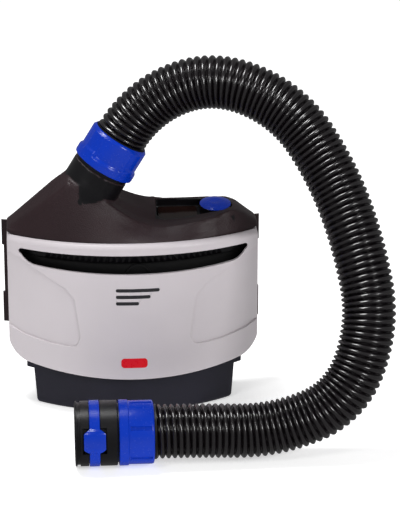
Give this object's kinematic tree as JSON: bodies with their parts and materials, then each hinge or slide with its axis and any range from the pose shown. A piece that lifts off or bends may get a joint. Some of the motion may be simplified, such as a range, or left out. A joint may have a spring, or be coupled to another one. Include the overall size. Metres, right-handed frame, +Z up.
{
  "type": "powered air respirator blower unit",
  "caption": "Belt-worn respirator blower with swing-open filter cover, slide-off battery, power button and a corrugated breathing hose with turning collars.",
  "frame": {"origin": "on the ground under the middle of the unit without its hose", "axes": "+Z up, front of the cover towards -Y, wearer side towards +Y, +X to the right seen from the front"},
  "size_m": [0.3318, 0.2153, 0.3184],
  "materials": {
    "dark_housing": "spark-textured dark brown-grey moulded plastic",
    "cover_grey": "light warm grey satin moulded plastic",
    "blue_plastic": "cobalt blue satin moulded plastic",
    "black_plastic": "black moulded plastic",
    "battery_grey": "cool dark grey moulded plastic",
    "hose_black": "glossy black corrugated hose",
    "seal_rubber": "soft black rubber",
    "fan_white": "natural white moulded plastic",
    "steel": "bright zinc-plated steel",
    "magnet": "sintered magnet",
    "copper": "enamelled copper wire",
    "brass_contact": "plated contact",
    "circuit_board": "green solder mask",
    "component_black": "moulded component body",
    "lead_red": "insulated lead",
    "window_smoke": "dark smoked window",
    "led_red": "red lamp body",
    "filter_paper": "pleated filter paper",
    "prefilter_foam": "open-cell foam",
    "screen_metal": "blackened perforated sheet",
    "filter_plastic": "dark filter frame",
    "badge_red": "red inlay",
    "mark_grey": "dark grey inlay",
    "cell_wrap": "shrink-wrapped cell"
  },
  "bodies": {
    "housing": {"rear_housing": "dark_housing", "upper_housing": "dark_housing", "belt_plate": "dark_housing", "belt_plate_screws": "steel", "housing_screws": "steel", "outlet_spigot": "black_plastic", "outlet_seal": "seal_rubber", "outlet_duct": "seal_rubber", "volute_front": "black_plastic", "volute_rear": "black_plastic", "inlet_seal": "prefilter_foam", "stator_core": "steel", "stator_coils": "copper", "motor_bearings": "steel", "motor_base": "black_plastic", "motor_screws": "steel", "main_board": "circuit_board", "board_components": "component_black", "buzzer": "component_black", "board_screws": "steel", "power_contacts": "black_plastic", "motor_lead": "lead_red", "battery_lead": "lead_red", "display_window": "window_smoke", "indicator_leds": "led_red", "control_board": "circuit_board", "tactile_switch": "component_black", "button_seal": "seal_rubber", "spark_screen": "screen_metal", "prefilter": "prefilter_foam", "filter_frame": "filter_plastic", "filter_media": "filter_paper", "filter_seal": "prefilter_foam", "cover_hinge_pin": "steel", "hose_cuff": "seal_rubber", "breathing_hose": "hose_black", "far_cuff": "seal_rubber", "connector_sleeve": "black_plastic", "connector_seal": "seal_rubber"},
    "fan": {"impeller": "fan_white", "motor_shaft": "steel", "rotor_bell": "steel", "rotor_magnets": "magnet"},
    "button": {"power_button": "blue_plastic"},
    "cover": {"filter_cover": "cover_grey", "cover_badge": "badge_red", "cover_mark": "mark_grey"},
    "cover_latch": {"cover_latch": "dark_housing"},
    "battery": {"battery_case": "battery_grey", "battery_lid": "battery_grey", "battery_cells": "cell_wrap", "cell_links": "brass_contact", "battery_board": "circuit_board", "battery_contacts": "brass_contact", "battery_screws": "steel"},
    "battery_latch": {"battery_latch": "battery_grey"},
    "hose_collar": {"hose_collar": "blue_plastic"},
    "release_clip": {"release_clip": "blue_plastic"},
    "coupling_collar": {"coupling_collar": "blue_plastic"}
  },
  "joints": [
    {"name": "cover_swing", "type": "hinge", "parent": "housing", "child": "cover", "pos_m": [-0.1065, 0.0215, 0.11], "axis": [0, 0, -1], "range_deg": [0, 28]},
    {"name": "cover_latch_press", "type": "slide", "parent": "cover", "child": "cover_latch", "axis": [-1, 0, 0], "range_m": [0, 0.001], "stiffness_N_per_m": 600, "springref_m": -0.0004},
    {"name": "battery_slide", "type": "slide", "parent": "housing", "child": "battery", "axis": [0, 0, -1], "range_m": [0, 0.045]},
    {"name": "battery_latch_press", "type": "slide", "parent": "battery", "child": "battery_latch", "axis": [-1, 0, 0], "range_m": [0, 0.002], "stiffness_N_per_m": 600, "springref_m": -0.0004},
    {"name": "button_press", "type": "slide", "parent": "housing", "child": "button", "axis": [0, 0.1564, -0.9877], "range_m": [0, 0.0012], "stiffness_N_per_m": 500, "springref_m": -0.0006},
    {"name": "fan_spin", "type": "hinge", "parent": "housing", "child": "fan", "pos_m": [0, 0, 0.098], "axis": [0, 1, 0], "continuous": true},
    {"name": "hose_collar_turn", "type": "hinge", "parent": "housing", "child": "hose_collar", "pos_m": [-0.025, 0, 0.219], "axis": [0.524, 0, 0.8517], "range_deg": [0, 45]},
    {"name": "coupling_turn", "type": "hinge", "parent": "housing", "child": "coupling_collar", "pos_m": [0, -0.139, 0.028], "axis": [1, 0, 0], "range_deg": [0, 45]},
    {"name": "clip_press", "type": "slide", "parent": "housing", "child": "release_clip", "axis": [0, 1, 0], "range_m": [0, 0.0015], "stiffness_N_per_m": 700, "springref_m": -0.0004}
  ]
}
